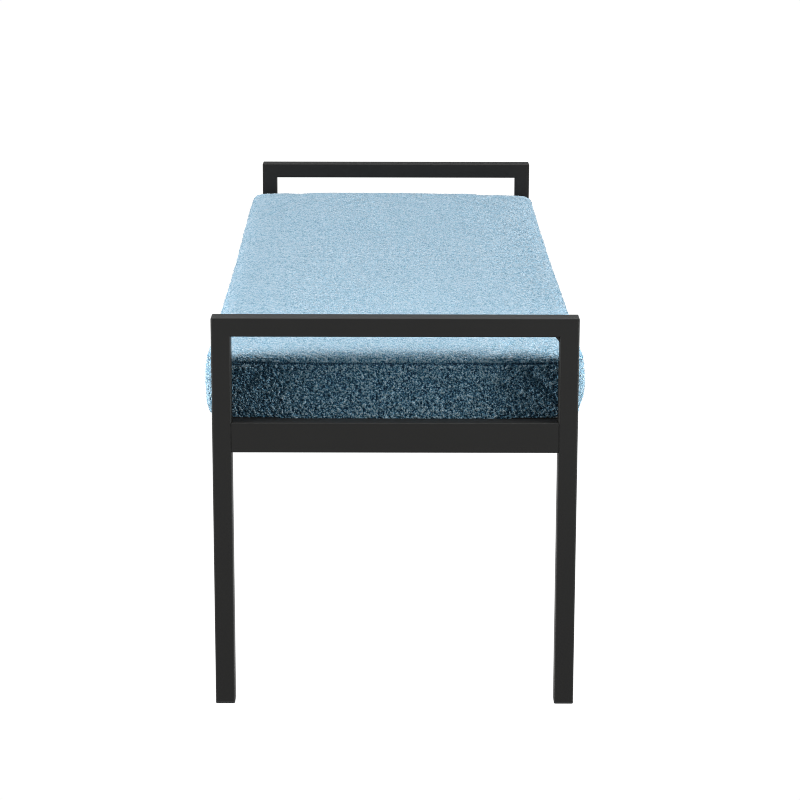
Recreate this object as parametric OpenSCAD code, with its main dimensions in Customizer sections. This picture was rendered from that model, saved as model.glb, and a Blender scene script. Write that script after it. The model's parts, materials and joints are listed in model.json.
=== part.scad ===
// Entryway bench: two welded end frames of square tube, a bolted seat frame
// between them, and an upholstered seat.
// Millimetres, +Z up. X runs along the seat, -Y is the front, and the origin
// is on the floor under the middle of the bench.

/* [Bench] */
// Overall length, over both end frames
bench_len = 1250; // [1000:10:1400]
// Overall width, over the legs
bench_w = 470; // [420:5:520]
// Overall height, to the top of the top rails
bench_h = 520; // [515:5:580]
// Height of the tops of the seat rails and side rails
rail_top = 382; // [340:1:384]

/* [Tubes] */
// Side of the square tube, and width of the rectangular tube
tube = 25; // [24:1:30]
// Height of the seat rails and side rails
rail_h = 40; // [36:1:50]
// Wall of all the tubes
wall = 1.5; // [1.2:0.1:2]
// Outside corner radius of the tubes
tube_r = 2.5; // [2.5:0.1:3.5]
// Side of the cross bearers' square tube
bearer = 20; // [18:1:24]
// Distance from the middle bearer to the other two
bearer_pitch = 400; // [320:10:420]

/* [Joints] */
// Thickness of the side rails' end plates
plate_t = 3; // [2:0.5:5]
// Length of an end plate, across the bench
plate_len = 85; // [70:1:100]
// Distance of the outer frame bolts from the middle of the bench
bolt_outer = 190; // [160:1:190]
// Distance between the two bolts of an end plate
bolt_gap = 30; // [20:1:35]
// Distance of the seat bolts from the middle of the bench
seat_bolt_y = 120; // [60:5:150]
// Leg of an ordinary weld bead
bead = 3; // [2:0.5:4]

/* [Seat] */
// Thickness of the plywood board
board_t = 12; // [9:1:18]
// Thickness of the cover's cloth
cover_t = 2.5; // [1.5:0.1:3]
// Thickness of the batting round the foam
batting_t = 4; // [2:0.5:6]
// Height of the seam between top panel and band, above the rails
seam_rise = 75; // [65:1:80]
// Height of the crown above the rails
crown_rise = 89; // [86:1:100]
// How far the seat's sides bulge out past the legs
bulge = 11.5; // [6:0.5:14]
// Width of the cover's edge that is turned under the board
margin_w = 38; // [36:1:60]

/* [Feet] */
// Thickness of the foot's flange, under the leg's end
foot_t = 2.5; // [2:0.5:6]
// How far the foot's plug reaches up into the leg
foot_plug = 16; // [10:1:30]

/* [Hidden] */
$fn = 48;

// Signs of the two ends and of the two long sides
right = 1;
left = -1;
front = -1;
back = 1;

half_len = bench_len / 2;
half_w = bench_w / 2;
leg_in = half_w - tube;         // inner face of a leg, across the bench
end_in = half_len - tube;       // inner face of an end frame
bar_z = bench_h - tube;         // underside of a top rail
rail_z = rail_top - rail_h / 2; // middle height of the seat and side rails
bearer_z = rail_top - bearer;   // underside of the bearers
past = 1;                       // how far a cut runs past the faces it opens

// M6 hardware
m6_r = 3;
m6_hole_r = 3.3;
m6_nut_r = 3.05;
socket_head_r = 5;
socket_head_h = 6;
hex_af = 5;
frame_bolt_len = 16;
washer_t = 1.6;
washer_r = 6;
seat_washer_r = 9;
seat_bolt_len = 35;
nut_flange_t = 0.8;
nut_flange_r = 6;
nut_body_r = 4.4;
nut_hole_r = 4.5;
nut_crimp_r = 5.6;
nut_crimp_t = 3.5;
nut_len = 13;
tee_flange_r = 9.5;
tee_flange_t = 1.3;
tee_barrel_r = 3.9;
tee_barrel_len = 9;
tee_prong = [3, 1, 6];
tee_prong_r = 7.5;

// The side rails stop short of the end frames by the end plate and the
// flanges of the rivet nuts, which the plates are pulled up against.
plate_out = end_in - nut_flange_t;
plate_in = plate_out - plate_t;
frame_bolt_y = [bolt_outer - bolt_gap, bolt_outer];

// Seat
dust_t = 0.6;
margin_t = 1.4;
board_z = rail_top + dust_t + margin_t;
foam_z = board_z + board_t;
seat_half_x = end_in - 0.5;
seat_half_y = half_w + bulge;
seat_r = 24;
board_x = seat_half_x - 5.5;
board_y = half_w - 2;
layer_gap = 0.3;
seam_z = rail_top + seam_rise;
cover_z = rail_top + dust_t;
lining = cover_t + layer_gap;
foam_depth = lining + batting_t + layer_gap;

// The seat's outer form, bottom to top: height, then how far it draws in
// from its widest line along X and along Y.
seat_form = [
  [cover_z, 1.5, bulge - 2],
  [rail_top + 18, 0.4, 4.5],
  [rail_top + 45, 0, 0],
  [seam_z, 1, 4],
  [seam_z + 0.65 * (crown_rise - seam_rise), 18, 21],
  [rail_top + crown_rise, 110, 90]
];

staple_w = 10;
staple_t = 0.6;
staple_d = 1.2;
staple_leg = 8;
staple_pitch = 80;
staple_inset = 8;
staples_long = 14;
staples_short = 5;

frame_black = [0.17, 0.165, 0.16];
foot_black = [0.09, 0.09, 0.09];
zinc = [0.72, 0.73, 0.75];
plywood = [0.78, 0.64, 0.46];
foam_cream = [0.93, 0.88, 0.7];
batting_white = [0.95, 0.95, 0.94];
cloth_blue = [0.64, 0.77, 0.85];
dust_black = [0.12, 0.12, 0.13];

// ---- Sections and small shapes ----

module rounded_rect(w, h, r) {
  square([w - 2 * r, h], center = true);
  square([w, h - 2 * r], center = true);
  for (x = [-1, 1], y = [-1, 1])
    translate([x * (w / 2 - r), y * (h / 2 - r)])
      circle(r = r);
}

module tube_section(w, h) {
  difference() {
    rounded_rect(w, h, tube_r);
    rounded_rect(w - 2 * wall, h - 2 * wall, tube_r - wall);
  }
}

// A 2D shape drawn in the Y-Z plane, given thickness along +X
module along_x(len) {
  rotate([90, 0, 90])
    linear_extrude(len)
      children();
}

// A 2D shape drawn in the X-Z plane, given thickness along Y, about Y = 0
module along_y(len) {
  rotate([90, 0, 0])
    linear_extrude(len, center = true)
      children();
}

// A round solid along +X
module rod_x(r, len) {
  rotate([0, 90, 0])
    cylinder(r = r, h = len);
}

// Draws its children at the right end, or mirrored at the left end
module at_end(end) {
  mirror([end == left ? 1 : 0, 0, 0])
    children();
}

// Draws its children at the back, or mirrored at the front
module at_side(side) {
  mirror([0, side == front ? 1 : 0, 0])
    children();
}

// A weld bead with a triangular section, along +Z from the corner at the
// origin, which it fills towards +X and +Y
module weld_bead(leg_x, leg_y, len) {
  linear_extrude(len)
    polygon([[0, 0], [leg_x, 0], [0, leg_y]]);
}

// The weld that fills the groove between a flush rail and a tube's rounded
// corner, along +Z
module groove_weld(len) {
  sunk = 0.3;
  linear_extrude(len)
    difference() {
      square([tube_r, tube_r - sunk]);
      translate([tube_r, 0])
        circle(r = tube_r);
    }
}

// ---- End frames ----

// Everything on the top rail's side of its two mitred joints
module mitre_zone() {
  translate([end_in - past, 0, 0])
    along_x(tube + 2 * past)
      polygon([
        [-leg_in, bar_z], [leg_in, bar_z],
        [half_w + tube, bench_h + tube], [-half_w - tube, bench_h + tube]
      ]);
}

// The end frame's outline, whose top corners are ground round
module frame_outline() {
  translate([end_in - past, 0, 0])
    along_x(tube + 2 * past)
      rounded_rect(bench_w, 2 * bench_h, tube_r);
}

module leg(end, side) {
  color(frame_black)
    at_end(end)
      at_side(side)
        intersection() {
          difference() {
            translate([half_len - tube / 2, half_w - tube / 2, foot_t])
              linear_extrude(bench_h - foot_t)
                tube_section(tube, tube);
            mitre_zone();
          }
          frame_outline();
        }
}

module top_rail(end) {
  color(frame_black)
    at_end(end)
      intersection() {
        translate([half_len - tube / 2, 0, bench_h - tube / 2])
          along_y(bench_w)
            tube_section(tube, tube);
        mitre_zone();
        frame_outline();
      }
}

module seat_rail(end) {
  color(frame_black)
    at_end(end)
      difference() {
        translate([half_len - tube / 2, 0, rail_z])
          along_y(2 * leg_in)
            tube_section(tube, rail_h);
        for (side = [front, back], y = frame_bolt_y)
          translate([end_in - past, side * y, rail_z])
            rod_x(nut_hole_r, wall + 2 * past);
      }
}

// The beads of one end frame. corner holds the legs of the beads inside the
// top corners, front then back, each as [along Y, along Z].
module frame_welds(end, corner) {
  flat = tube - 2 * tube_r;
  groove_len = rail_h - 2 * tube_r;
  color(frame_black)
    at_end(end)
      for (side = [front, back])
        at_side(side) {
          legs = corner[side == front ? 0 : 1];
          // Under the top rail, inside the corner
          translate([end_in + tube_r + flat, leg_in, bar_z])
            rotate([0, -90, 0])
              mirror([1, 0, 0])
                mirror([0, 1, 0])
                  weld_bead(legs[1], legs[0], flat);
          // Under the seat rail
          translate([end_in + tube_r + flat, leg_in, rail_top - rail_h])
            rotate([0, -90, 0])
              mirror([1, 0, 0])
                mirror([0, 1, 0])
                  weld_bead(bead, bead, flat);
          // Where the seat rail's faces are flush with the leg's
          translate([end_in + tube - tube_r, leg_in, rail_z - groove_len / 2])
            rotate([0, 0, 90])
              mirror([0, 1, 0])
                groove_weld(groove_len);
          translate([end_in + tube_r, leg_in, rail_z - groove_len / 2])
            rotate([0, 0, 90])
              groove_weld(groove_len);
        }
}

// A plug with three gripping ribs, under a flange that meets the floor
module foot(end, side) {
  bore = tube - 2 * wall;
  rib = bore - 0.2;
  core = bore - 3;
  rib_t = 1.2;
  core_wall = 2;
  color(foot_black)
    at_end(end)
      at_side(side)
        translate([half_len - tube / 2, half_w - tube / 2, 0])
          difference() {
            union() {
              linear_extrude(foot_t)
                rounded_rect(tube, tube, tube_r);
              linear_extrude(foot_t + foot_plug)
                rounded_rect(core, core, 1);
              for (i = [1:3])
                translate([0, 0, foot_t + i * foot_plug / 4])
                  linear_extrude(rib_t)
                    rounded_rect(rib, rib, 1);
            }
            translate([0, 0, foot_t])
              linear_extrude(foot_plug + past)
                rounded_rect(core - 2 * core_wall, core - 2 * core_wall, 1);
          }
}

// ---- Seat frame ----

module side_rail(side) {
  color(frame_black)
    translate([-plate_in, side * (half_w - tube / 2), rail_z])
      along_x(2 * plate_in)
        tube_section(tube, rail_h);
}

module end_plate(end, side) {
  color(frame_black)
    at_end(end)
      at_side(side)
        difference() {
          translate([plate_in, half_w - plate_len / 2, rail_z])
            along_x(plate_t)
              rounded_rect(plate_len, rail_h, tube_r);
          for (y = frame_bolt_y)
            translate([plate_in - past, y, rail_z])
              rod_x(m6_hole_r, plate_t + 2 * past);
        }
}

module cross_bearer(x) {
  color(frame_black)
    translate([x, 0, 0])
      difference() {
        translate([0, 0, bearer_z + bearer / 2])
          along_y(2 * leg_in)
            tube_section(bearer, bearer);
        for (side = [front, back])
          translate([0, side * seat_bolt_y, bearer_z - past])
            cylinder(r = m6_hole_r, h = bearer + 2 * past);
      }
}

module seat_frame_welds() {
  plate_bead_len = rail_h - 2 * tube_r;
  bearer_bead_len = bearer - 2 * tube_r;
  color(frame_black)
    for (side = [front, back])
      at_side(side) {
        // Side rails to end plates
        for (end = [left, right])
          at_end(end)
            translate([plate_in, leg_in, rail_z - plate_bead_len / 2])
              rotate([0, 0, 180])
                weld_bead(bead, bead, plate_bead_len);
        // Bearers to side rails
        for (x = [-bearer_pitch, 0, bearer_pitch], flank = [-1, 1])
          translate([x, 0, 0])
            mirror([flank == 1 ? 0 : 1, 0, 0])
              translate([bearer / 2, leg_in, bearer_z + tube_r])
                mirror([0, 1, 0])
                  weld_bead(bead, bead, bearer_bead_len);
      }
}

// ---- Fasteners ----

// Draws its children at each frame bolt, with +X pointing out of the bench
module at_frame_bolts() {
  for (end = [left, right], side = [front, back], y = frame_bolt_y)
    at_end(end)
      at_side(side)
        translate([0, y, rail_z])
          children();
}

// Draws its children at each seat bolt
module at_seat_bolts() {
  for (x = [-bearer_pitch, 0, bearer_pitch], side = [front, back])
    translate([x, side * seat_bolt_y, 0])
      children();
}

// A socket-head bolt along +Z, with the underside of its head at the origin
module socket_bolt(len) {
  socket_depth = 3;
  difference() {
    union() {
      translate([0, 0, -socket_head_h])
        cylinder(r = socket_head_r, h = socket_head_h);
      cylinder(r = m6_r, h = len);
    }
    translate([0, 0, -socket_head_h - past])
      cylinder(r = hex_af / sqrt(3), h = socket_depth + past, $fn = 6);
  }
}

module washer(r) {
  difference() {
    cylinder(r = r, h = washer_t);
    translate([0, 0, -past])
      cylinder(r = m6_hole_r, h = washer_t + 2 * past);
  }
}

module frame_bolts() {
  color(zinc)
    at_frame_bolts()
      translate([plate_in - washer_t, 0, 0])
        rotate([0, 90, 0])
          socket_bolt(frame_bolt_len);
}

module frame_washers() {
  color(zinc)
    at_frame_bolts()
      translate([plate_in - washer_t, 0, 0])
        rotate([0, 90, 0])
          washer(washer_r);
}

// Set in the seat rails' inner walls, with a crimped collar behind the wall
module rivet_nuts() {
  color(zinc)
    at_frame_bolts()
      difference() {
        union() {
          translate([end_in - nut_flange_t, 0, 0])
            rod_x(nut_flange_r, nut_flange_t);
          translate([end_in, 0, 0])
            rod_x(nut_body_r, nut_len);
          translate([end_in + wall, 0, 0])
            rod_x(nut_crimp_r, nut_crimp_t);
        }
        translate([end_in - nut_flange_t - past, 0, 0])
          rod_x(m6_nut_r, nut_len + nut_flange_t + 2 * past);
      }
}

module seat_bolts() {
  color(zinc)
    at_seat_bolts()
      translate([0, 0, bearer_z - washer_t])
        socket_bolt(seat_bolt_len);
}

module seat_washers() {
  color(zinc)
    at_seat_bolts()
      translate([0, 0, bearer_z - washer_t])
        washer(seat_washer_r);
}

// The outside of a tee nut, flange up, with its four prongs
module tee_nut_form() {
  cylinder(r = tee_flange_r, h = tee_flange_t);
  translate([0, 0, -tee_barrel_len])
    cylinder(r = tee_barrel_r, h = tee_barrel_len);
  for (turn = [0:90:270])
    rotate([0, 0, turn])
      translate([tee_prong_r - tee_prong[0] / 2, -tee_prong[1] / 2, -tee_prong[2]])
        cube(tee_prong);
}

module tee_nuts() {
  color(zinc)
    at_seat_bolts()
      translate([0, 0, foam_z - tee_flange_t])
        difference() {
          tee_nut_form();
          translate([0, 0, -tee_barrel_len - past])
            cylinder(r = m6_nut_r, h = tee_barrel_len + tee_flange_t + 2 * past);
        }
}

// ---- Seat ----

// Draws its children at each staple, with the crown along X
module at_staples() {
  long_y = leg_in - staple_inset + 2;
  short_x = board_x - 2 * staple_inset;
  for (side = [front, back], i = [0:staples_long - 1])
    translate([(i - (staples_long - 1) / 2) * staple_pitch, side * long_y, 0])
      children();
  for (end = [left, right], i = [0:staples_short - 1])
    translate([end * short_x, (i - (staples_short - 1) / 2) * staple_pitch, 0])
      rotate([0, 0, 90])
        children();
}

// The legs of the staples, as they stand in the board and cloth
module staple_legs() {
  at_staples()
    for (x = [-1, 1])
      translate([x * (staple_w - staple_t) / 2 - staple_t / 2, -staple_d / 2, rail_top])
        cube([staple_t, staple_d, staple_leg]);
}

module staples() {
  color(zinc) {
    at_staples()
      translate([-staple_w / 2, -staple_d / 2, rail_top - staple_t])
        cube([staple_w, staple_d, staple_t]);
    staple_legs();
  }
}

module seat_board() {
  clear = 0.1;
  color(plywood)
    difference() {
      translate([0, 0, board_z])
        linear_extrude(board_t)
          rounded_rect(2 * board_x, 2 * board_y, seat_r - cover_t - 2);
      at_seat_bolts() {
        translate([0, 0, board_z - past])
          cylinder(r = tee_barrel_r + clear, h = board_t);
        translate([0, 0, foam_z - tee_flange_t])
          tee_nut_form();
      }
      staple_legs();
    }
}

// The seat's form, drawn in by depth all round and cut off below z_low
module pillow(depth, z_low) {
  sliver = 0.01;
  intersection() {
    hull()
      for (p = seat_form)
        translate([0, 0, p[0] > seam_z ? p[0] - depth : p[0]])
          linear_extrude(sliver)
            rounded_rect(
              2 * (seat_half_x - p[1] - depth),
              2 * (seat_half_y - p[2] - depth),
              seat_r - depth, $fn = 32
            );
    translate([-bench_len, -bench_w, z_low])
      cube([2 * bench_len, 2 * bench_w, crown_rise + past]);
  }
}

module foam_core() {
  color(foam_cream)
    pillow(foam_depth, foam_z);
}

module batting() {
  color(batting_white)
    difference() {
      pillow(lining, foam_z);
      pillow(foam_depth - layer_gap, foam_z - past);
    }
}

module cover_top_panel() {
  color(cloth_blue)
    difference() {
      pillow(0, seam_z);
      pillow(cover_t, seam_z - past);
    }
}

module cover_band() {
  color(cloth_blue)
    difference() {
      pillow(0, cover_z);
      pillow(cover_t, board_z);
      // The seam, above which the top panel takes over
      translate([-bench_len, -bench_w, seam_z])
        cube([2 * bench_len, 2 * bench_w, crown_rise]);
      // Inside the turned-under edge
      translate([-seat_half_x + margin_w, -seat_half_y + margin_w + bulge, cover_z - past])
        cube([
          2 * (seat_half_x - margin_w),
          2 * (seat_half_y - margin_w - bulge),
          margin_t + 2 * past
        ]);
      staple_legs();
    }
}

module dust_cover() {
  inset = 7;
  color(dust_black)
    difference() {
      translate([0, 0, rail_top])
        linear_extrude(dust_t)
          rounded_rect(2 * (board_x - inset), 2 * (board_y - inset), seat_r - inset);
      at_seat_bolts()
        translate([0, 0, rail_top - past])
          cylinder(r = m6_hole_r, h = dust_t + 2 * past);
      staple_legs();
    }
}

leg(right, front);  // right_front_leg
leg(right, back);  // right_back_leg
leg(left, front);  // left_front_leg
leg(left, back);  // left_back_leg
top_rail(right);  // right_top_rail
top_rail(left);  // left_top_rail
seat_rail(right);  // right_seat_rail
seat_rail(left);  // left_seat_rail
frame_welds(right, [[2, 2], [5.5, 7]]);  // right_frame_welds
frame_welds(left, [[2, 2], [2, 2]]);  // left_frame_welds
foot(right, front);  // right_front_foot
foot(right, back);  // right_back_foot
foot(left, front);  // left_front_foot
foot(left, back);  // left_back_foot
side_rail(front);  // front_side_rail
side_rail(back);  // back_side_rail
end_plate(right, front);  // right_front_end_plate
end_plate(right, back);  // right_back_end_plate
end_plate(left, front);  // left_front_end_plate
end_plate(left, back);  // left_back_end_plate
cross_bearer(-bearer_pitch);  // left_bearer
cross_bearer(0);  // middle_bearer
cross_bearer(bearer_pitch);  // right_bearer
seat_frame_welds();
frame_bolts();
frame_washers();
rivet_nuts();
seat_bolts();
seat_washers();
tee_nuts();
seat_board();
foam_core();
batting();
cover_top_panel();
cover_band();
dust_cover();
staples();
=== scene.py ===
"""The looks of the entryway bench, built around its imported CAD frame.

Metres, +Z up. X runs along the seat, -Y is the front, and the floor is Z = 0.
"""

import json
import math

import bmesh
import bpy
import numpy as np
from mathutils import Euler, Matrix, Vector


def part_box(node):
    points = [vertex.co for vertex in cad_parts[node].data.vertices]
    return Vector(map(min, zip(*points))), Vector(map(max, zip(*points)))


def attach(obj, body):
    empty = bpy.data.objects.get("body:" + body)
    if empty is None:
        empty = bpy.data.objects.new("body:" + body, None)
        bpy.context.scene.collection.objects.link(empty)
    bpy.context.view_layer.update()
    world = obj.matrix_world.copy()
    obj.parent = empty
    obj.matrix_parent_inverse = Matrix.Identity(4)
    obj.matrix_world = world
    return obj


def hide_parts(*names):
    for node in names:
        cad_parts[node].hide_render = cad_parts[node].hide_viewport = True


MM = 0.001
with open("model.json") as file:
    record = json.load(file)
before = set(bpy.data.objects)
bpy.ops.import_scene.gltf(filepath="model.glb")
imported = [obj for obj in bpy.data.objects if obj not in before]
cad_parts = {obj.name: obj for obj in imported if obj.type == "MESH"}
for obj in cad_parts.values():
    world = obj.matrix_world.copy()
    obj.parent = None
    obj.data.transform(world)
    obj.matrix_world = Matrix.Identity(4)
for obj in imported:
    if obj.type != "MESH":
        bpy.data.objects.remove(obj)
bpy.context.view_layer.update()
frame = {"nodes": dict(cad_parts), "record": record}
nodes = frame["nodes"]


# ---------------------------------------------------------------- places

TOP_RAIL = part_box("right_top_rail")
SEAT_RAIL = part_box("right_seat_rail")
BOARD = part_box("seat_board")
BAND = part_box("cover_band")
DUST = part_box("dust_cover")

RAIL_TOP = SEAT_RAIL[1].z
SEAM_Z = BAND[1].z - 3.2 * MM
FRAME_INNER_X = SEAT_RAIL[0].x

# The cloth's nubs stand this far out of, and its pits lie this far below, the
# surface that the cushion's form describes
NUB = 1.35 * MM
# The sizes of a nub, of a curl, and of the bends in their rows
NUB_PITCH = 3.2 * MM
CURL_PITCH = 3.4 * MM
BEND_PITCH = 6.0 * MM
# The seam's thread draws the cloth in by this much, and by a third of it at the reach
SEAM_TUCK = 3.0 * MM
SEAM_REACH = 1.8 * MM
# The nubs have their whole height from this distance on, from the seam
SEAM_BARE = 3.0 * MM

# The seam between top panel and band, as a rounded rectangle
SEAM_HALF_X = BAND[1].x - 2.0 * MM
SEAM_HALF_Y = BAND[1].y - 1.0 * MM
CORNER_R = 24 * MM

# The coarse cloth's mesh, along the seat and across it
STEP_X = 9.5 * MM
STEP_Y = 5.6 * MM

# The top panel's roll-over, from the seam inwards: how far in from the seam and how
# far above it the cloth is, in millimetres
ROLL_FORM = [
    (0.0, 0.0),
    (-0.2, 2.4),
    (0.1, 4.8),
    (1.2, 7.2),
    (3.2, 9.4),
    (6.2, 11.2),
    (10.4, 12.6),
    (16.5, 13.6),
    (26.0, 14.5),
]
# The seat's middle stands this much higher than the inner edge of its roll-over
CROWN = 2.9 * MM
# The seat's left end stands this much higher than its right end, and there the front
# corner is higher, and the back corner lower, by the twist
LEFT_RISE = 3.0 * MM
LEFT_TWIST = 1.6 * MM

# How far the seat's sides pull in at the middle of its length
WAIST = 3.2 * MM
# How far the seat's left end has been pushed along Y, towards the front
SHIFT_LEFT = -6.5 * MM
# The waist and that shift begin this far over the rails, and are whole this much higher
LOOSE_FROM = 3 * MM
LOOSE_OVER = 32 * MM

# The band's profile, from the seam down: height over the rails, and how far it
# stands out past the seam on the long sides and on the ends, in millimetres
BAND_FORM = [
    (75.0, 0.0, 0.0),
    (73.4, 0.4, 0.1),
    (71.0, 0.9, 0.3),
    (67.0, 1.6, 0.5),
    (62.0, 2.3, 0.7),
    (56.5, 2.8, 0.8),
    (51.0, 3.1, 0.9),
    (45.5, 3.2, 1.0),
    (40.0, 3.2, 1.0),
    (34.5, 2.9, 1.0),
    (29.0, 2.4, 0.9),
    (23.5, 1.7, 0.7),
    (18.0, 0.7, 0.5),
    (12.5, -0.8, 0.2),
    (7.5, -2.8, -0.1),
    (4.0, -4.6, -0.4),
    (1.9, -6.4, -1.2),
    (0.9, -9.5, -4.0),
]
# The band leans this far to the front at LEAN_AT over the rails, and a third as far
# at LEAN_OVER above and below that
LEAN = 1.6 * MM
LEAN_AT = 10 * MM
LEAN_OVER = 13 * MM

# At the seat's ends nothing is under the band's lower edge, and it hangs this far
# below the rails' tops
END_DIP = 7.0 * MM
# Beside the legs the band's lower part is drawn in by this much
END_TUCK = 1.2 * MM
# Heights over the rails, in millimetres, where the dip and the tuck begin, and how far
# below that each is whole
DIP_FROM = 12
DIP_OVER = 10
TUCK_FROM = 24
TUCK_OVER = 18
# The seam is this much higher at an end's corners than at its middle
SEAM_RISE = 2.5 * MM
# The seam wanders up and down by this much, over this length
SEAM_WANDER = 0.7 * MM
WANDER_PITCH = 70 * MM


# ---------------------------------------------------------------- numbers


# Large odd numbers that scramble a cell's three numbers, its salt and the result
CELL_KEYS = (73856093, 19349663, 83492791)
SALT_KEY = 2654435761
BIT_KEY = 0x45D9F3B
# The lowest 32 bits, which are kept
LOW_BITS = 0xFFFFFFFF


def smooth(t):
    """Smoothstep of t, held between 0 and 1."""
    t = np.clip(t, 0, 1)
    return t * t * (3 - 2 * t)


def scatter(cell, salt):
    """Three even random numbers from 0 to 1 for each whole-number cell. They are
    the same for the same cell and salt."""
    keys = cell.astype(np.int64)
    key_x, key_y, key_z = CELL_KEYS
    out = []
    for k in range(3):
        h = keys[:, 0] * key_x ^ keys[:, 1] * key_y ^ keys[:, 2] * key_z
        h = (h + (salt * 3 + k) * SALT_KEY) & LOW_BITS
        for _ in range(2):
            h = ((h ^ (h >> 16)) * BIT_KEY) & LOW_BITS
        h = h ^ (h >> 16)
        out.append(h / LOW_BITS)
    return np.stack(out, axis=1)


def neighbours():
    """The 27 cells round a cell, itself included."""
    steps = (-1, 0, 1)
    return [np.array((i, j, k)) for i in steps for j in steps for k in steps]


def cells(points, size, salt):
    """Distances, in cells, from each point to the two nearest of a set of
    scattered centres, one in each cell of that size."""
    q = points / size
    base = np.floor(q)
    near = np.full(len(q), 9.0)
    second = near.copy()
    for step in neighbours():
        cell = base + step
        d = np.linalg.norm(cell + scatter(cell, salt) - q, axis=1)
        second = np.minimum(second, np.maximum(d, near))
        near = np.minimum(near, d)
    return near, second


def waves(points, size, salt):
    """Smooth random numbers from about -1 to 1 that change over that size."""
    q = points / size
    base = np.floor(q)
    t = smooth(q - base)
    total = np.zeros(len(q))
    for i in (0, 1):
        for j in (0, 1):
            for k in (0, 1):
                corner = scatter(base + (i, j, k), salt)[:, 0] * 2 - 1
                share = np.abs((1 - i, 1 - j, 1 - k) - t)
                total += share[:, 0] * share[:, 1] * share[:, 2] * corner
    return total


# ---------------------------------------------------------------- meshes


def new_object(name, points, faces):
    """A smooth-shaded mesh object of those points and faces, in the scene."""
    mesh = bpy.data.meshes.new(name)
    mesh.from_pydata([tuple(p) for p in points], [], faces)
    mesh.validate()
    mesh.shade_smooth()
    obj = bpy.data.objects.new(name, mesh)
    bpy.context.scene.collection.objects.link(obj)
    return obj


def coordinates(mesh):
    co = np.empty(len(mesh.vertices) * 3, np.float32)
    mesh.vertices.foreach_get("co", co)
    return co.reshape(-1, 3).astype(float)


def normals(mesh):
    n = np.empty(len(mesh.vertices) * 3, np.float32)
    mesh.vertex_normals.foreach_get("vector", n)
    return n.reshape(-1, 3).astype(float)


def put(mesh, points):
    mesh.vertices.foreach_set("co", np.asarray(points, np.float32).ravel())
    mesh.update()


def set_number(mesh, name, values):
    """Stores one number for each of the mesh's points, under a name."""
    found = mesh.attributes.get(name) or mesh.attributes.new(name, "FLOAT", "POINT")
    found.data.foreach_set("value", np.asarray(values, np.float32))


def get_number(mesh, name):
    values = np.empty(len(mesh.vertices), np.float32)
    mesh.attributes[name].data.foreach_get("value", values)
    return values.astype(float)


def subdivided(obj, levels):
    """Replaces the object's mesh by its Catmull-Clark subdivision."""
    mod = obj.modifiers.new("fine", "SUBSURF")
    mod.levels = levels
    mod.render_levels = levels
    mod.boundary_smooth = "ALL"
    graph = bpy.context.evaluated_depsgraph_get()
    fine = bpy.data.meshes.new_from_object(obj.evaluated_get(graph))
    obj.modifiers.clear()
    old = obj.data
    obj.data = fine
    bpy.data.meshes.remove(old)
    fine.name = obj.name
    return obj


# ---------------------------------------------------------------- the seat's form


def edge_steps(half, step):
    """Distances from one edge of the top panel to the other, along the cloth, close
    together near the edges and about a step apart between them; and the last one."""
    close = np.array([0, 1.5, 3.5, 6, 9, 12.5, 17, 22, 28]) * MM
    length = 2 * (half - ROLL_FORM[-1][0] * MM + roll_length())
    n = round((length - 2 * close[-1]) / step)
    middle = np.linspace(close[-1], length - close[-1], n + 1)
    return np.concatenate([close[:-1], middle, length - close[-2::-1]]), length


def roll_path():
    """Distances along the cloth of the roll-over's points, and the points."""
    form_points = np.array(ROLL_FORM) * MM
    steps = np.linalg.norm(np.diff(form_points, axis=0), axis=1)
    return np.concatenate([[0], np.cumsum(steps)]), form_points


def roll_length():
    return roll_path()[0][-1]


def roll(edge):
    """How far in and how far up (0 to 1) the panel is at a distance from its edge."""
    along, at = roll_path()
    flat = np.maximum(edge - along[-1], 0)
    return np.interp(edge, along, at[:, 0]) + flat, np.interp(edge, along, at[:, 1] / at[-1, 1])


def round_corners(x, y, half_x, half_y, r):
    """Moves points of rectangles into those rectangles with round corners."""
    cx = half_x - r
    cy = half_y - r
    qx = np.clip((np.abs(x) - cx) / r, 0, None)
    qy = np.clip((np.abs(y) - cy) / r, 0, None)
    inside = (qx > 0) & (qy > 0)
    rx = qx * np.sqrt(np.clip(1 - qy**2 / 2, 0, 1))
    ry = qy * np.sqrt(np.clip(1 - qx**2 / 2, 0, 1))
    x = np.where(inside, np.sign(x) * (cx + rx * r), x)
    y = np.where(inside, np.sign(y) * (cy + ry * r), y)
    return x, y


def lean(points):
    """The seat's waist and its sideways shift, along its length, which die away
    towards the board, because the cloth is stapled to that."""
    p = points.copy()
    free = smooth((p[:, 2] - RAIL_TOP - LOOSE_FROM) / LOOSE_OVER)
    t = p[:, 0] / SEAM_HALF_X
    waist = WAIST * np.cos(np.clip(t / 0.75, -1, 1) * math.pi / 2) ** 2
    p[:, 1] *= 1 - free * waist / SEAM_HALF_Y
    p[:, 1] += free * SHIFT_LEFT * (1 - smooth((t + 1) / 2))
    return p


def along_ring(near, edge, half, length):
    """A place on the ring that lies a distance from the edge: its distance from the
    middle, given its distance along the cloth from the ring's end."""
    return half * (1 - (near - edge) / (length / 2 - edge))


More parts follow.
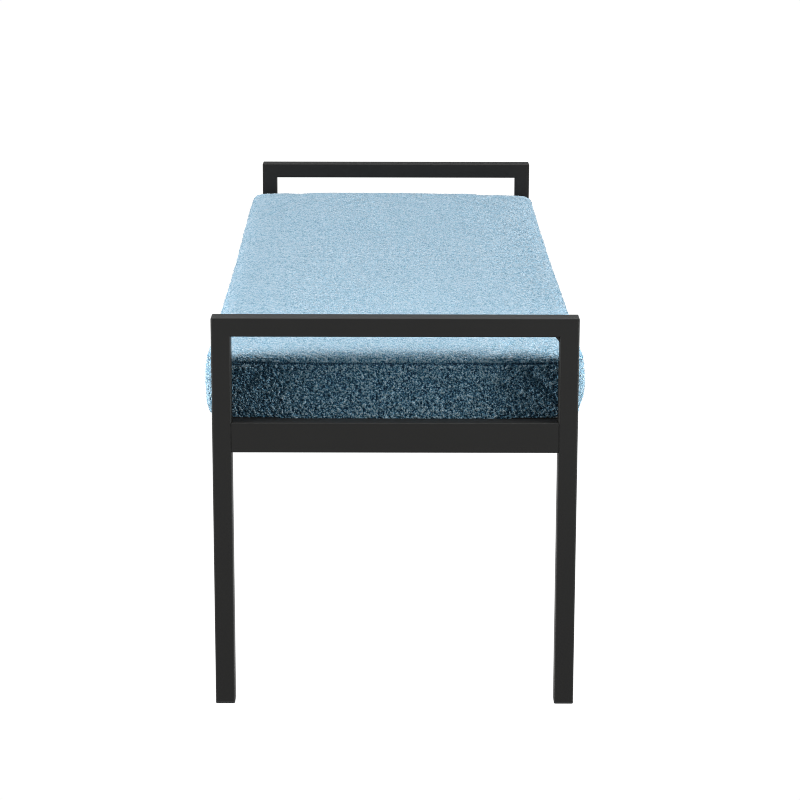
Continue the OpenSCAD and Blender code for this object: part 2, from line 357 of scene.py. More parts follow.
def panel_grid():
    """The top panel: a grid of points, along X and then along Y, and how far along
    the cloth each is from the seam."""
    ex, len_x = edge_steps(SEAM_HALF_X, STEP_X)
    ey, len_y = edge_steps(SEAM_HALF_Y, STEP_Y)
    gx, gy = np.meshgrid(ex, ey, indexing="ij")
    near_x = np.minimum(gx, len_x - gx)
    near_y = np.minimum(gy, len_y - gy)
    edge = np.minimum(near_x, near_y)
    inset, up = roll(edge)
    half_x = SEAM_HALF_X - inset
    half_y = SEAM_HALF_Y - inset
    edge = np.minimum(edge, len_y / 2 - 1 * MM)
    x = np.sign(gx - len_x / 2) * along_ring(near_x, edge, half_x, len_x)
    y = np.sign(gy - len_y / 2) * along_ring(near_y, edge, half_y, len_y)
    x, y = round_corners(x, y, half_x, half_y, np.maximum(CORNER_R - inset, 4 * MM))
    crown = CROWN * (1 - (x / SEAM_HALF_X) ** 8) * (1 - (y / SEAM_HALF_Y) ** 4)
    z = SEAM_Z + ROLL_FORM[-1][1] * MM * up + crown
    leftward = smooth(-x / SEAM_HALF_X)
    z += up * leftward * (LEFT_RISE - LEFT_TWIST * y / SEAM_HALF_Y)
    at_end = smooth((np.abs(x) / SEAM_HALF_X - 0.9) / 0.1)
    z += SEAM_RISE * (1 - up) * at_end * (y / SEAM_HALF_Y) ** 2
    places = np.stack([x, y, z], axis=2).reshape(-1, 3)
    z += SEAM_WANDER * (1 - up) * waves(places, WANDER_PITCH, 4).reshape(x.shape)
    return np.stack([x, y, z], axis=2), np.minimum(near_x, near_y)


def ring_of(rows, columns):
    """The grid places round the edge of a grid, in order."""
    last_r = rows - 1
    last_c = columns - 1
    ring = [(i, 0) for i in range(last_r)]
    ring += [(last_r, j) for j in range(last_c)]
    ring += [(i, last_c) for i in range(last_r, 0, -1)]
    ring += [(0, j) for j in range(last_c, 0, -1)]
    return ring


def ring_outward(ring_xy):
    """Outward directions, in plan, along a closed ring of points."""
    tangent = np.roll(ring_xy, -1, axis=0) - np.roll(ring_xy, 1, axis=0)
    out = np.stack([tangent[:, 1], -tangent[:, 0]], axis=1)
    return out / np.linalg.norm(out, axis=1, keepdims=True)


def end_tuck(seam_ring):
    """How much of END_TUCK each place round the band gets: most beside the legs."""
    x = seam_ring[:, 0]
    y = seam_ring[:, 1]
    back = smooth((y - 165 * MM) / (45 * MM))
    front = smooth((-y - 192 * MM) / (20 * MM))
    near_leg = np.where(y > 0, back, front)
    return near_leg * (np.abs(x) > SEAM_HALF_X - CORNER_R)


def band_rows(seam_ring):
    """The band's rows of points, from the seam down to where it turns under."""
    out = ring_outward(seam_ring[:, :2])
    tuck = END_TUCK * end_tuck(seam_ring)
    lowest = RAIL_TOP + BAND_FORM[-1][0] * MM
    clear = SEAT_RAIL[1].y + 2 * MM
    hangs = (np.abs(out[:, 0]) > 0.9) * smooth((clear - np.abs(seam_ring[:, 1])) / (12 * MM))
    rows = []
    for height, past_y, past_x in BAND_FORM:
        row = seam_ring.copy()
        row[:, 0] -= out[:, 0] * tuck * smooth((TUCK_FROM - height) / TUCK_OVER)
        row[:, 0] += out[:, 0] * past_x * MM
        row[:, 1] += out[:, 1] * past_y * MM
        row[:, 1] -= LEAN * math.exp(-(((height * MM - LEAN_AT) / LEAN_OVER) ** 2))
        dip = END_DIP * hangs * smooth((DIP_FROM - height) / DIP_OVER)
        share = (height - BAND_FORM[-1][0]) / (BAND_FORM[0][0] - BAND_FORM[-1][0])
        row[:, 2] = lowest + share * (seam_ring[:, 2] - lowest) - dip
        rows.append(row)
    return rows


def grid_faces(rows, columns, start=0):
    return [
        (
            start + i * columns + j,
            start + (i + 1) * columns + j,
            start + (i + 1) * columns + j + 1,
            start + i * columns + j + 1,
        )
        for i in range(rows - 1)
        for j in range(columns - 1)
    ]


def ring_faces(upper, lower):
    """Faces between two closed rings of point numbers, facing outward."""
    n = len(upper)
    return [
        (upper[k], lower[k], lower[(k + 1) % n], upper[(k + 1) % n]) for k in range(n)
    ]


def seat_skin():
    """The coarse closed skin of the seat, before it is puffed: points, faces
    and what is where on it."""
    grid, from_seam = panel_grid()
    rows, columns = grid.shape[:2]
    ring = [i * columns + j for i, j in ring_of(rows, columns)]
    points = grid.reshape(-1, 3)
    band = band_rows(points[ring])
    rings = [ring]
    faces = grid_faces(rows, columns)
    stack = [points]
    count = len(points)
    for row in band[1:]:
        rings.append(list(range(count, count + len(row))))
        stack.append(row)
        count += len(row)
    for upper, lower in zip(rings, rings[1:]):
        faces += ring_faces(upper, lower)
    return {
        "points": lean(np.concatenate(stack)),
        "faces": faces,
        "panel_faces": rows * columns - rows - columns + 1,
        "panel_points": rows * columns,
        "rings": rings,
        "from_seam": from_seam.reshape(-1),
    }


# ---------------------------------------------------------------- cloth simulation


# How firmly the foam holds the cloth to its form, from 0 to 1
FOAM_HOLD = 0.22
# The push of the batting
PUFF_PRESSURE = 1.5
# The share by which the seam's thread is shorter than the cloth along it
SEAM_SHRINK = 0.03
# The farthest that a point may move
PUFF_CAP = 3.0 * MM
PUFF_FRAMES = 12


def puffed(skin):
    """The skin's points after its cloth has been puffed against its seams by the
    filling's push, with its lower edge held at the board."""
    lid = tuple(reversed(skin["rings"][-1]))
    obj = new_object("puff", skin["points"], skin["faces"] + [lid])
    held = obj.vertex_groups.new(name="held")
    held.add(list(range(len(skin["points"]))), FOAM_HOLD, "REPLACE")
    for ring in skin["rings"][-3:]:
        held.add(ring, 1.0, "REPLACE")
    drawn = obj.vertex_groups.new(name="drawn")
    drawn.add(skin["rings"][0], 1.0, "REPLACE")
    mod = obj.modifiers.new("cloth", "CLOTH")
    s = mod.settings
    s.quality = 8
    s.mass = 0.35
    s.tension_stiffness = 60
    s.compression_stiffness = 60
    s.shear_stiffness = 25
    s.bending_stiffness = 4
    s.use_pressure = True
    s.uniform_pressure_force = PUFF_PRESSURE
    s.effector_weights.gravity = 0
    s.vertex_group_mass = held.name
    s.vertex_group_shrink = drawn.name
    s.shrink_min = 0.0
    s.shrink_max = SEAM_SHRINK
    scene = bpy.context.scene
    for f in range(1, PUFF_FRAMES + 1):
        scene.frame_set(f)
    graph = bpy.context.evaluated_depsgraph_get()
    end = coordinates(obj.evaluated_get(graph).data)
    scene.frame_set(1)
    bpy.data.objects.remove(obj)
    move = end - skin["points"]
    far = np.linalg.norm(move, axis=1, keepdims=True)
    return skin["points"] + move * np.minimum(1, PUFF_CAP / np.maximum(far, 1e-9))


def clear_of_frame(points):
    """Keeps the cloth's form clear of the end frames and of the rails under it."""
    p = points.copy()
    end = FRAME_INNER_X - NUB - 0.2 * MM
    p[:, 0] = np.clip(p[:, 0], -end, end)
    low = np.where(np.abs(p[:, 0]) > FRAME_INNER_X - 12 * MM, RAIL_TOP - END_DIP, RAIL_TOP)
    p[:, 2] = np.maximum(p[:, 2], low + 0.8 * MM)
    return p


skin = seat_skin()
form = puffed(skin)
form = clear_of_frame(form)


# ---------------------------------------------------------------- materials


class Nodes:
    """A material's node tree, with short calls that add and join its nodes."""

    def __init__(self, name):
        self.material = bpy.data.materials.new(name)
        self.material.use_nodes = True
        self.tree = self.material.node_tree
        self.tree.nodes.clear()
        self.out = self.add("ShaderNodeOutputMaterial")
        self.shader = self.add("ShaderNodeBsdfPrincipled")
        self.join(self.shader, "BSDF", self.out, "Surface")

    def add(self, kind, **settings):
        node = self.tree.nodes.new(kind)
        for key, value in settings.items():
            setattr(node, key, value)
        return node

    def join(self, a, a_socket, b, b_socket):
        self.tree.links.new(a.outputs[a_socket], b.inputs[b_socket])

    def set(self, **values):
        for key, value in values.items():
            self.shader.inputs[key.replace("_", " ")].default_value = value

    def place(self):
        return self.add("ShaderNodeTexCoord")

    def noise(self, scale, detail, roughness, stretch=None):
        node = self.add("ShaderNodeTexNoise")
        node.inputs["Scale"].default_value = scale
        node.inputs["Detail"].default_value = detail
        node.inputs["Roughness"].default_value = roughness
        if stretch is None:
            self.join(self.place(), "Object", node, "Vector")
        else:
            scaled = self.add("ShaderNodeMapping")
            scaled.inputs["Scale"].default_value = stretch
            self.join(self.place(), "Object", scaled, "Vector")
            self.join(scaled, "Vector", node, "Vector")
        return node

    def voronoi(self, scale):
        node = self.add("ShaderNodeTexVoronoi")
        node.inputs["Scale"].default_value = scale
        self.join(self.place(), "Object", node, "Vector")
        return node

    def math(self, operation, a, b=None, clamp=False):
        """A Math node of one or two inputs: numbers, or (node, socket) pairs."""
        node = self.add("ShaderNodeMath", operation=operation, use_clamp=clamp)
        for k, value in enumerate((a, b)):
            if value is None:
                continue
            if isinstance(value, tuple):
                self.join(value[0], value[1], node, k)
            else:
                node.inputs[k].default_value = value
        return node

    def mixed(self, parts):
        """The sum of (node, socket, weight)s, held between 0 and 1."""
        total = None
        for node, socket, weight in parts:
            step = self.math("MULTIPLY_ADD", (node, socket), weight)
            step.inputs[2].default_value = 0
            if total is not None:
                self.join(total, "Value", step, 2)
            total = step
        total.use_clamp = True
        return total

    def ramp(self, source, socket, stops):
        """A colour ramp over a number, of (place, colour) stops."""
        node = self.add("ShaderNodeValToRGB")
        elements = node.color_ramp.elements
        while len(elements) < len(stops):
            elements.new(0.5)
        for element, (at, colour) in zip(elements, stops):
            element.position = at
            element.color = (*colour, 1)
        self.join(source, socket, node, "Fac")
        return node

    def bump(self, source, socket, distance, strength=1.0):
        node = self.add("ShaderNodeBump")
        node.inputs["Distance"].default_value = distance
        node.inputs["Strength"].default_value = strength
        self.join(source, socket, node, "Height")
        return node


# The cloth's mean depth number, which is 0 in a pit and 1 on a curl's top. Where the open number is
# 0 this depth shows all over, and no painted shade darkens the pits.
CLOTH_MEAN = 0.64


def boucle_cloth():
    """Light blue boucle: curled loops of yarn, with painted shade that darkens the pits between
    them.
    """
    m = Nodes("boucle_cloth")
    lump = m.add("ShaderNodeAttribute", attribute_name="nub")
    # The open number scales the painted pit shade: high on the band's ends and near the top's seam,
    # lower elsewhere.
    pile_and_shade = m.add("ShaderNodeAttribute", attribute_name="open")
    curls = m.noise(240, 1.5, 0.5)
    curls.inputs["Distortion"].default_value = 0.7
    off = m.math("ABSOLUTE", (m.math("SUBTRACT", (curls, "Fac"), 0.5), "Value"))
    beside = m.math("MULTIPLY", (off, "Value"), 9.0, clamp=True)
    ridge = m.math("SUBTRACT", 1.0, (beside, "Value"))
    cell = m.voronoi(470)
    around = m.math("MULTIPLY", (cell, "Distance"), 1.25)
    knot = m.math("SUBTRACT", 1.0, (around, "Value"), clamp=True)
    yarn = m.noise(640, 2, 0.6)
    depth = m.mixed(
        [(lump, "Fac", 0.46), (ridge, "Value", 0.18), (knot, "Value", 0.42), (yarn, "Fac", 0.16)]
    )
    off_mean = m.math("SUBTRACT", (depth, "Value"), CLOTH_MEAN)
    painted_shade_depth = m.math("MULTIPLY_ADD", (off_mean, "Value"), (pile_and_shade, "Fac"), clamp=True)
    painted_shade_depth.inputs[2].default_value = CLOTH_MEAN
    # Painted shade: the lowest stops paint the pits near-black and deep blue, as shade between the
    # loops; the upper stops are the yarn's own light blue.
    colour = m.ramp(
        painted_shade_depth,
        "Value",
        [
            (0.10, (0.010, 0.038, 0.075)),
            (0.34, (0.06, 0.175, 0.28)),
            (0.52, (0.275, 0.445, 0.57)),
            (0.66, (0.465, 0.57, 0.655)),
            (0.85, (0.575, 0.655, 0.725)),
            (1.0, (0.63, 0.705, 0.765)),
        ],
    )
    m.join(colour, "Color", m.shader, "Base Color")
    fine = m.mixed([(ridge, "Value", 0.5), (knot, "Value", 0.3), (yarn, "Fac", 0.3)])
    m.join(m.bump(fine, "Value", 2.2 * MM, 1.0), "Normal", m.shader, "Normal")
    m.set(Roughness=0.95, Sheen_Weight=0.1, Sheen_Roughness=0.5, Specular_IOR_Level=0.2)
    return m.material


def frame_paint():
    """Black satin powder coat with a fine orange peel."""
    m = Nodes("frame_paint")
    peel = m.noise(650, 2, 0.5)
    patch = m.noise(14, 3, 0.5)
    stops = [(0.3, (0.0148, 0.0131, 0.0121)), (0.7, (0.0177, 0.0157, 0.0146))]
    colour = m.ramp(patch, "Fac", stops)
    m.join(colour, "Color", m.shader, "Base Color")
    gloss = m.math("MULTIPLY_ADD", (patch, "Fac"), 0.08)
    gloss.inputs[2].default_value = 0.48
    m.join(gloss, "Value", m.shader, "Roughness")
    m.set(Specular_IOR_Level=0.26)
    m.join(m.bump(peel, "Fac", 0.06 * MM, 0.35), "Normal", m.shader, "Normal")
    return m.material


def plain(name, colour, roughness, grain):
    """A plain material with a fine grain: colour, roughness, and the grain's
    scale and depth in millimetres."""
    m = Nodes(name)
    speck = m.noise(grain[0], 3, 0.6)
    low = tuple(c * 0.85 for c in colour)
    high = tuple(min(1, c * 1.12) for c in colour)
    tint = m.ramp(speck, "Fac", [(0.35, low), (0.65, high)])
    m.join(tint, "Color", m.shader, "Base Color")
    m.join(m.bump(speck, "Fac", grain[1] * MM, 0.5), "Normal", m.shader, "Normal")
    m.set(Roughness=roughness)
    return m.material


def birch_ply():
    """Plywood: long grain on its faces, and thin plies on its edges."""
    m = Nodes("plywood")
    grain = m.noise(240, 4, 0.6, stretch=(0.06, 1, 1))
    ply = m.noise(420, 1, 0.5, stretch=(0.02, 0.02, 1))
    depth = m.mixed([(grain, "Fac", 0.6), (ply, "Fac", 0.4)])
    stops = [(0.3, (0.36, 0.22, 0.11)), (0.5, (0.56, 0.38, 0.21)), (0.7, (0.68, 0.50, 0.31))]
    m.join(m.ramp(depth, "Value", stops), "Color", m.shader, "Base Color")
    m.join(m.bump(grain, "Fac", 0.15 * MM, 0.5), "Normal", m.shader, "Normal")
    m.set(Roughness=0.7)
    return m.material


def bright_zinc():
    """Zinc plate: bright steel, clouded in patches, with fine turning marks."""
    m = Nodes("zinc_steel")
    cloud = m.noise(90, 3, 0.6)
    mark = m.noise(1800, 2, 0.6)
    stops = [(0.3, (0.42, 0.44, 0.46)), (0.7, (0.66, 0.67, 0.68))]
    m.join(m.ramp(cloud, "Fac", stops), "Color", m.shader, "Base Color")
    rough = m.math("MULTIPLY_ADD", (cloud, "Fac"), 0.25)
    rough.inputs[2].default_value = 0.2
    m.join(rough, "Value", m.shader, "Roughness")
    m.join(m.bump(mark, "Fac", 0.02 * MM, 0.4), "Normal", m.shader, "Normal")
    m.set(Metallic=1.0)
    return m.material


def spun_cloth():
    """Black non-woven dust cloth, with the small dots that bond its fibres."""
    m = Nodes("dust_cloth")
    fibre = m.noise(900, 4, 0.7)
    dot = m.voronoi(520)
    stops = [(0.25, (0.008, 0.008, 0.009)), (0.6, (0.022, 0.022, 0.024)), (0.8, (0.05, 0.05, 0.052))]
    depth = m.mixed([(fibre, "Fac", 0.7), (dot, "Distance", 0.5)])
    m.join(m.ramp(depth, "Value", stops), "Color", m.shader, "Base Color")
    m.join(m.bump(depth, "Value", 0.25 * MM, 0.7), "Normal", m.shader, "Normal")
    m.set(Roughness=0.85, Sheen_Weight=0.15, Specular_IOR_Level=0.3)
    return m.material


CLOTH = boucle_cloth()
PAINT = frame_paint()
FOOT = plain("foot_plastic", (0.012, 0.012, 0.012), 0.6, grain=(1500, 0.03))
ZINC = bright_zinc()
PLY = birch_ply()
FOAM = plain("seat_foam", (0.84, 0.76, 0.48), 0.95, grain=(700, 0.4))
BATTING = plain("batting_fibre", (0.86, 0.86, 0.85), 0.95, grain=(300, 0.8))
DUST_CLOTH = spun_cloth()


def give(obj, material):
    obj.data.materials.clear()
    obj.data.materials.append(material)


BY_SLOT = {
    "frame_paint": PAINT,
    "foot_plastic": FOOT,
    "zinc_steel": ZINC,
    "plywood": PLY,
    "seat_foam": FOAM,
    "batting_fibre": BATTING,
    "boucle_cloth": CLOTH,
    "dust_cloth": DUST_CLOTH,
}
for part in frame["record"]["subparts"]:
    give(nodes[part["node"]], BY_SLOT[part["material_slot"]])


# ---------------------------------------------------------------- the cover


def nubbed(obj, pile_and_shade_of, joined=False):
    """Raises the cloth's nubs on a fine mesh, and tucks it in at its seam. Its second argument is a
    function that gives, for each point, how high the nubs rise and how deep the shader paints shade
    into their pits. A joined band has a second seam, vertical, at the middle of the back."""
    mesh = obj.data
    p = coordinates(mesh)
    n = normals(mesh)
    seam = get_number(mesh, "from_seam")
    if joined:
        seam = np.where(p[:, 1] > 200 * MM, np.minimum(seam, np.abs(p[:, 0])), seam)
    bend = np.stack([waves(p, BEND_PITCH, salt) for salt in (1, 2, 3)], axis=1)
    near, second = cells(p + bend * 1.5 * MM, NUB_PITCH, 5)
    dome = np.clip((second - near) * 1.5, 0, 1) ** 0.75
    curl = 1 - np.clip(np.abs(waves(p + bend * 1.2 * MM, CURL_PITCH, 9)) * 2.6, 0, 1)
    nub = np.clip(0.62 * dome + 0.42 * curl, 0, 1)
    free = smooth(seam / SEAM_BARE)
    # This number sets the nubs' real height and, through the open number, how deep the shader paints
    # shade into the pits.
    pile_and_shade = pile_and_shade_of(n, seam)
    rise = (nub - 0.5) * 2 * NUB * free * np.minimum(pile_and_shade, 1)
    drawn = np.exp(-((seam / SEAM_REACH) ** 2))
    tuck = SEAM_TUCK * drawn
    # At the seam both cloths are drawn straight in, so that they stay together
    level = n * (1, 1, 0)
    level /= np.maximum(np.linalg.norm(level, axis=1, keepdims=True), 1e-6)
    put(mesh, p + n * rise[:, None] - (n + (level - n) * drawn[:, None]) * tuck[:, None])
    # The shader paints shade where nub is low, so the pits, and the seam where nub falls to 0, are
    # painted darker; open scales that painted shade.
    set_number(mesh, "nub", nub * free)
    set_number(mesh, "open", pile_and_shade)


def top_pile_and_shade(n, seam):
    """On the top: nubs at 0.55 of their height and painted pit shade at 0.55 of its depth, both
    rising to 0.95 at the seam.
    """
    return 0.55 + 0.4 * (1 - smooth(seam / (22 * MM)))


def band_pile_and_shade(n, seam):
    """On the band: full nubs and painted pit shade at 1.4 times its depth where it faces an end, and
    half of both on the long sides.
    """
    return 0.50 + 0.90 * smooth((np.abs(n[:, 0]) - 0.8) / 0.18)


def cover_panel():
    """The top panel, out to its seam with the band."""
    n = skin["panel_points"]
    obj = new_object("cover_top", form[:n], skin["faces"][: skin["panel_faces"]])
    set_number(obj.data, "from_seam", skin["from_seam"])
    subdivided(obj, 2)
    nubbed(obj, top_pile_and_shade)
    give(obj, CLOTH)
    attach(obj, "root")
    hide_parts("cover_top_panel")
    return obj


def cover_side():
    """The band, with its edge turned under the board."""
    rings = [form[ring] for ring in skin["rings"]]
    depth = [0.0]
    for upper, lower in zip(rings, rings[1:]):
        depth.append(depth[-1] + float(np.median(np.linalg.norm(lower - upper, axis=1))))
    n = len(rings[0])
    points = np.concatenate(rings)
    faces = []
    for k in range(len(rings) - 1):
        upper = list(range(k * n, k * n + n))
        faces += ring_faces(upper, [i + n for i in upper])
    obj = new_object("cover_band_cloth", points, faces)
    set_number(obj.data, "from_seam", np.repeat(depth, n))
    subdivided(obj, 2)
    nubbed(obj, band_pile_and_shade, joined=True)
    give(obj, CLOTH)
    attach(obj, "root")
    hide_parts("cover_band")
    return obj


def inside(depth, floor):
    """The seat's form drawn in by depth and standing on a floor height, as a closed
    mesh's points and faces."""
    obj = new_object("inside", form, skin["faces"])
    p = coordinates(obj.data) - normals(obj.data) * depth
    bpy.data.objects.remove(obj)
    n = len(skin["rings"][0])
    # The two lowest rings would be under the floor
    keep = skin["panel_points"] + n * (len(skin["rings"]) - 3)
    p = p[:keep]
    p[:, 2] = np.maximum(p[:, 2], floor)
    faces = [f for f in skin["faces"] if max(f) < keep]
    faces.append(tuple(reversed(range(keep - n, keep))))
    p[keep - n :, 2] = floor
    return p, faces


def filling(name, node, material, depth, floor):
    """A piece that fills the cover in the place of a CAD node."""
    obj = new_object(name, *inside(depth, floor))
    give(obj, material)
    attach(obj, "root")
    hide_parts(node)
    return obj


cover_panel()
cover_side()
board_top = BOARD[1].z
filling("batting_wrap", "batting", BATTING, 3.4 * MM, board_top)
filling("foam_block", "foam_core", FOAM, 8.0 * MM, board_top + 0.2 * MM)


# ---------------------------------------------------------------- welds

# Distance between the rings of a bead's mesh
WELD_STEP = 0.45 * MM
RIPPLE_PITCH = 1.7 * MM
# Outside corner radius of the tubes
TUBE_R = 2.5 * MM
# Legs of the beads under the seat rails, of those inside a top corner, along Y and
# Z, and of those on the side rails' inner faces
UNDER_BEAD = 0.9 * MM
SMALL = (0.9 * MM, 0.9 * MM)
LARGE = (5.5 * MM, 7.0 * MM)
INNER_BEAD = 2.4 * MM
# Beads larger than this are ground smooth
GROUND_LEG = 4.0 * MM


def ripple(along, salt):
    """The height of a weld's ripples, about 1, at distances along it."""
    phase = along / RIPPLE_PITCH
    row = np.stack([along, along * 0 + salt * 0.01, along * 0], axis=1)
    return 1 + 0.10 * np.abs(np.sin(math.pi * phase)) + 0.12 * waves(row, 5 * MM, salt)


def fillet_section(leg_u, leg_v):
    """A fillet bead's section, from one face round to the other, with its root."""
    t = np.linspace(0, 1, 6)
    belly = 0.12 * np.sin(math.pi * t) * (leg_u < GROUND_LEG)
    u = leg_u * (1 - t + belly)
    v = leg_v * (t + belly)
    return np.concatenate([[(-0.1 * leg_u, -0.1 * leg_v)], np.stack([u, v], axis=1)])


def groove_section():
    """The section of a weld that fills a flush rail's groove at a tube's round corner."""
    turn = np.linspace(0, 1, 5) * math.radians(62)
    u = TUBE_R * np.sin(turn)
    v = TUBE_R * (1 - np.cos(turn))
    arc = np.stack([u, -v], axis=1)[::-1]
    root = [(-0.05 * MM, -TUBE_R)]
    return np.concatenate([root, arc[:1] + [0.1 * MM, 0], arc - [0, 0.18 * MM]])


def bead(section, start, along, u, v, length, salt):
    """One bead's points and faces: the section swept from start, in the directions
    along, u and v. It is rippled and tapers off at its ends, unless it is ground."""
    count = max(4, round(length / WELD_STEP))
    s = np.linspace(0, length, count + 1)
    size = ripple(s, salt)
    ends = np.sqrt(np.clip(np.minimum(s, length - s) / (1.5 * MM), 0.04, 1))
    if section.max() > GROUND_LEG:
        size = ends = np.ones(count + 1)
    start, along, u, v = (np.array(a, float) for a in (start, along, u, v))
    n = len(section)
    points = []
    for place, scale in zip(s, size * ends):
        at = section * scale
        points += list(start + along * place + at[:, :1] * u + at[:, 1:] * v)
    rings = [list(range(k * n, k * n + n)) for k in range(count + 1)]
    faces = [tuple(rings[0]), tuple(reversed(rings[-1]))]
    for upper, lower in zip(rings, rings[1:]):
        faces += ring_faces(lower, upper)
    return points, faces


def welded(name, node, beads):
    """All the beads of one CAD node, as one piece in its place."""
    points = []
    faces = []
    for k, (section, start, along, u, v, length) in enumerate(beads):
        more, more_faces = bead(section, start, along, u, v, length, k + 1)
        faces += [tuple(i + len(points) for i in f) for f in more_faces]
        points += more
    obj = new_object(name, points, faces)
    tidy = bmesh.new()
    tidy.from_mesh(obj.data)
    bmesh.ops.recalc_face_normals(tidy, faces=tidy.faces)
    tidy.to_mesh(obj.data)
    tidy.free()
    give(obj, PAINT)
    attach(obj, "root")
    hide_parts(node)
    return obj


def end_frame_beads(end, top_legs):
    """The beads of the end frame at end (1 right, -1 left). top_legs holds the legs
    of the beads inside the top corners, front then back, along Y and Z."""
    flat = SEAT_RAIL[1].x - SEAT_RAIL[0].x - 2 * TUBE_R
    first = end * (SEAT_RAIL[0].x + TUBE_R)
    tall = SEAT_RAIL[1].z - SEAT_RAIL[0].z - 2 * TUBE_R
    leg_in = SEAT_RAIL[1].y
    outward = (end, 0, 0)
    down = (0, 0, -1)
    under = fillet_section(UNDER_BEAD, UNDER_BEAD)
    groove = groove_section()
    beads = []
    for side, legs in zip((-1, 1), top_legs):
        inward = (0, -side, 0)
        for section, rail in ((fillet_section(*legs), TOP_RAIL), (under, SEAT_RAIL)):
            start = (first, side * leg_in, rail[0].z)
            beads.append((section, start, outward, inward, down, flat))
        for face, out in ((SEAT_RAIL[1].x, end), (SEAT_RAIL[0].x, -end)):
            start = (end * face, side * leg_in, SEAT_RAIL[0].z + TUBE_R)
            beads.append((groove, start, (0, 0, 1), (0, side, 0), (out, 0, 0), tall))
    return beads


def seat_frame_beads():
    """The beads that hold the end plates and the bearers to the side rails."""
    leg = fillet_section(INNER_BEAD, INNER_BEAD)
    rail_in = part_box("back_side_rail")[0].y
    plate_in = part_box("right_back_end_plate")[0].x
    low = SEAT_RAIL[0].z + TUBE_R
    tall = SEAT_RAIL[1].z - SEAT_RAIL[0].z - 2 * TUBE_R
    beads = []
    for side in (-1, 1):
        inward = (0, -side, 0)
        for end in (-1, 1):
            start = (end * plate_in, side * rail_in, low)
            beads.append((leg, start, (0, 0, 1), (-end, 0, 0), inward, tall))
        for name in ("left_bearer", "middle_bearer", "right_bearer"):
            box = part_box(name)
            for face, out in ((box[0].x, -1), (box[1].x, 1)):
                start = (face, side * rail_in, box[0].z + TUBE_R)
                length = box[1].z - box[0].z - 2 * TUBE_R
                beads.append((leg, start, (0, 0, 1), (out, 0, 0), inward, length))
    return beads


welded("right_frame_beads", "right_frame_welds", end_frame_beads(1, (SMALL, LARGE)))
welded("left_frame_beads", "left_frame_welds", end_frame_beads(-1, (SMALL, SMALL)))
welded("seat_frame_beads", "seat_frame_welds", seat_frame_beads())


# ---------------------------------------------------------------- dust cover


# Points of the sheet's mesh along X and Y
SHEET_X = 141
SHEET_Y = 57
# Distance between bearers, and how far from its middle the sheet hangs free, along Y
# and along X
BEARER_PITCH = 400 * MM
FREE_Y = 200 * MM
FREE_X = 575 * MM
# How deep it sags, and how much its wrinkles change that, in millimetres
SAG = 2.2
SAG_CHANGE = 0.9


def dust_sheet():
    """Thin black cloth, stapled under the board and sagging a little between the
    rails and bearers that it lies on."""
    half_x = DUST[1].x
    half_y = DUST[1].y
    xs = np.linspace(-half_x, half_x, SHEET_X)
    ys = np.linspace(-half_y, half_y, SHEET_Y)
    gx, gy = np.meshgrid(xs, ys, indexing="ij")
    x, y = round_corners(gx, gy, half_x, half_y, np.full(gx.shape, 12 * MM))
    # 0 halfway between two bearers, 1 at a bearer
    bay = np.abs((np.abs(x) / BEARER_PITCH) % 1 - 0.5) * 2
    across = np.clip(1 - (np.abs(y) / FREE_Y) ** 4, 0, 1)
    end = smooth((FREE_X - np.abs(x)) / (60 * MM))
    flat = np.stack([gx, gy, gx * 0], axis=2).reshape(-1, 3)
    wrinkle = waves(flat * (1, 2.5, 1), 90 * MM, 21).reshape(x.shape)
    sag = (SAG + SAG_CHANGE * wrinkle) * MM * (1 - bay**3) * across * end
    z = DUST[0].z + 0.1 * MM - np.maximum(sag, 0)
    points = np.stack([x, y, z], axis=2).reshape(-1, 3)
    obj = new_object("dust_sheet", points, grid_faces(SHEET_X, SHEET_Y))
    thick = obj.modifiers.new("thickness", "SOLIDIFY")
    thick.thickness = 0.45 * MM
    thick.offset = 1
    give(obj, DUST_CLOTH)
    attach(obj, "root")
    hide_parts("dust_cover")
    return obj


dust_sheet()


def softened(node, width):
    """Rounds a CAD node's sharp edges a little, as moulding or stamping does."""
    mod = nodes[node].modifiers.new("soft_edges", "BEVEL")
    mod.width = width
    mod.segments = 2
    mod.limit_method = "ANGLE"
    mod.angle_limit = math.radians(40)


for end in ("right", "left"):
    for side in ("front", "back"):
        softened(f"{end}_{side}_foot", 0.5 * MM)
        softened(f"{end}_{side}_end_plate", 0.25 * MM)


# ---------------------------------------------------------------- studio


def studio_floor():
    """A plain pale floor that turns up into a backdrop far behind. It glows evenly,
    shows in reflections, and casts no light or shade on the bench."""
    m = Nodes("floor_white")
    m.tree.nodes.remove(m.shader)
    glow = m.add("ShaderNodeEmission")
    glow.inputs["Color"].default_value = (1, 1, 1, 1)
    glow.inputs["Strength"].default_value = 1.02
    m.join(glow, "Emission", m.out, "Surface")
    points = []
    faces = []
    around = 64
    profile = [(0.01, 0), (6, 0), (14, 0), (15.5, 0.4), (16, 1.4), (16, 3.2)]
    for radius, height in profile:
        for k in range(around):
            a = 2 * math.pi * k / around
            points.append((radius * math.cos(a), radius * math.sin(a), height))
    for i in range(len(profile) - 1):
        upper = list(range(i * around, (i + 1) * around))
        faces += ring_faces(upper, [u + around for u in upper])
    faces.append(tuple(range(around)))
    obj = new_object("studio_floor", points, faces)
    give(obj, m.material)
    obj.visible_diffuse = False
    obj.visible_shadow = False
    return obj


def softbox(name, place, aim, size, power, spread=180):
    """A rectangular soft light at place, turned towards aim, whose grid keeps its
    light within a spread of degrees."""
    data = bpy.data.lights.new(name, "AREA")
    data.shape = "RECTANGLE"
    data.size = size[0]
    data.size_y = size[1]
    data.energy = power
    data.spread = math.radians(spread)
    obj = bpy.data.objects.new(name, data)
    bpy.context.scene.collection.objects.link(obj)
    obj.location = place
    turn = (Vector(aim) - Vector(place)).to_track_quat("-Z", "Y")
    obj.rotation_euler = turn.to_euler()
    return obj


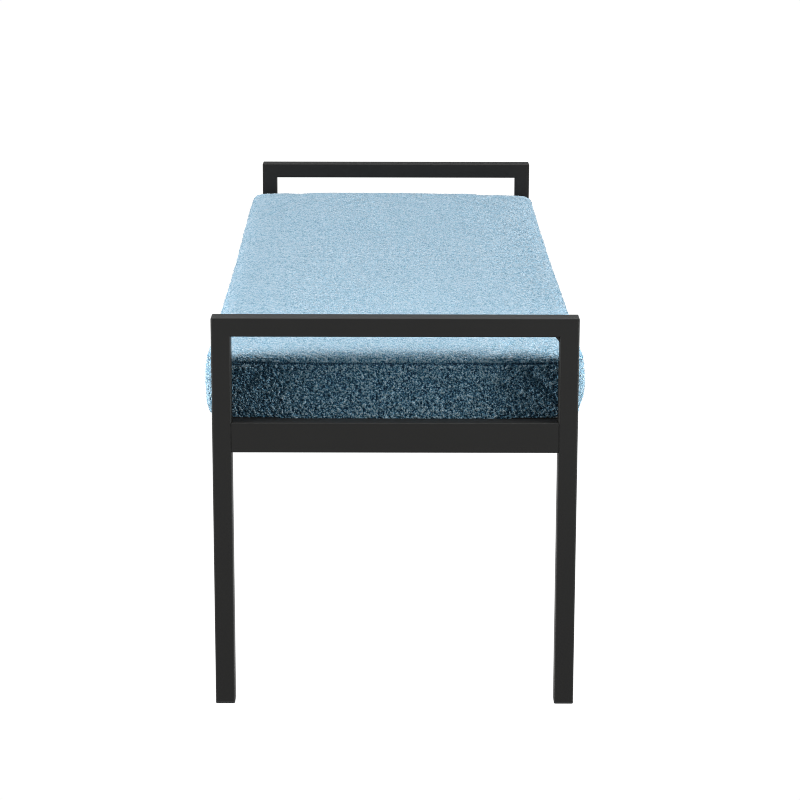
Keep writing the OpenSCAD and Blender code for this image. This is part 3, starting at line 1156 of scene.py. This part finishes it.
def studio_lights():
    """Soft light from above and from both sides, and strips that skim the right end."""
    softbox("overhead", (-0.38, 0, 2.3), (-0.38, 0, 0), (2.3, 2.2), 46)
    softbox("front_top", (1.0, 0, 2.2), (1.0, 0, 0), (0.5, 2.2), 16.5)
    for name, side, near_power in (("left", -1, 3.7), ("right", 1, 0.9)):
        wide = softbox(name + "_side", (-0.5, side * 2.2, 0.8), (-0.5, 0, 0.42), (1.8, 1.4), 52)
        near_place = (0.70, side * 2.0, 0.5)
        near = softbox(name + "_near", near_place, (0.62, 0, 0.42), (0.6, 0.7), near_power, 64)
        wide.visible_glossy = False
        near.visible_glossy = False
    for name, side, power in (("left", -1, 2.2), ("right", 1, 3.2)):
        strip = softbox(name + "_strip", (0.85, side, 0.67), (0.85, 0, 0.42), (0.25, 0.8), power, 84)
        strip.data.color = (0.88, 0.99, 1)
    world = bpy.data.worlds.new("studio")
    world.use_nodes = True
    sky = world.node_tree.nodes["Background"]
    sky.inputs["Color"].default_value = (0.50, 0.86, 1, 1)
    sky.inputs["Strength"].default_value = 0.108
    bpy.context.scene.world = world


def photo_camera():
    """The camera, near the bench's right end and a little above it, looking along it."""
    data = bpy.data.cameras.new("photo_camera")
    data.lens = 109.58
    data.sensor_width = 36
    data.shift_y = -0.125
    data.clip_end = 100
    obj = bpy.data.objects.new("photo_camera", data)
    bpy.context.scene.collection.objects.link(obj)
    obj.location = (3.6418, 0.0022, 1.2073)
    down = math.radians(12.405)
    aside = math.radians(-0.074)
    tilt = math.radians(0.123)
    turn = Euler((0, 0, math.pi / 2 + aside)).to_matrix()
    turn = turn @ Euler((math.pi / 2 - down, 0, 0)).to_matrix()
    turn = turn @ Euler((0, 0, tilt)).to_matrix()
    obj.rotation_euler = turn.to_euler()
    bpy.context.scene.camera = obj
    return obj


studio_floor()
studio_lights()
photo_camera()
bpy.context.scene.view_settings.view_transform = "Standard"
bpy.context.scene.cycles.use_denoising = True
bpy.context.scene.cycles.denoising_prefilter = "ACCURATE"
bpy.context.scene.cycles.filter_width = 0.9
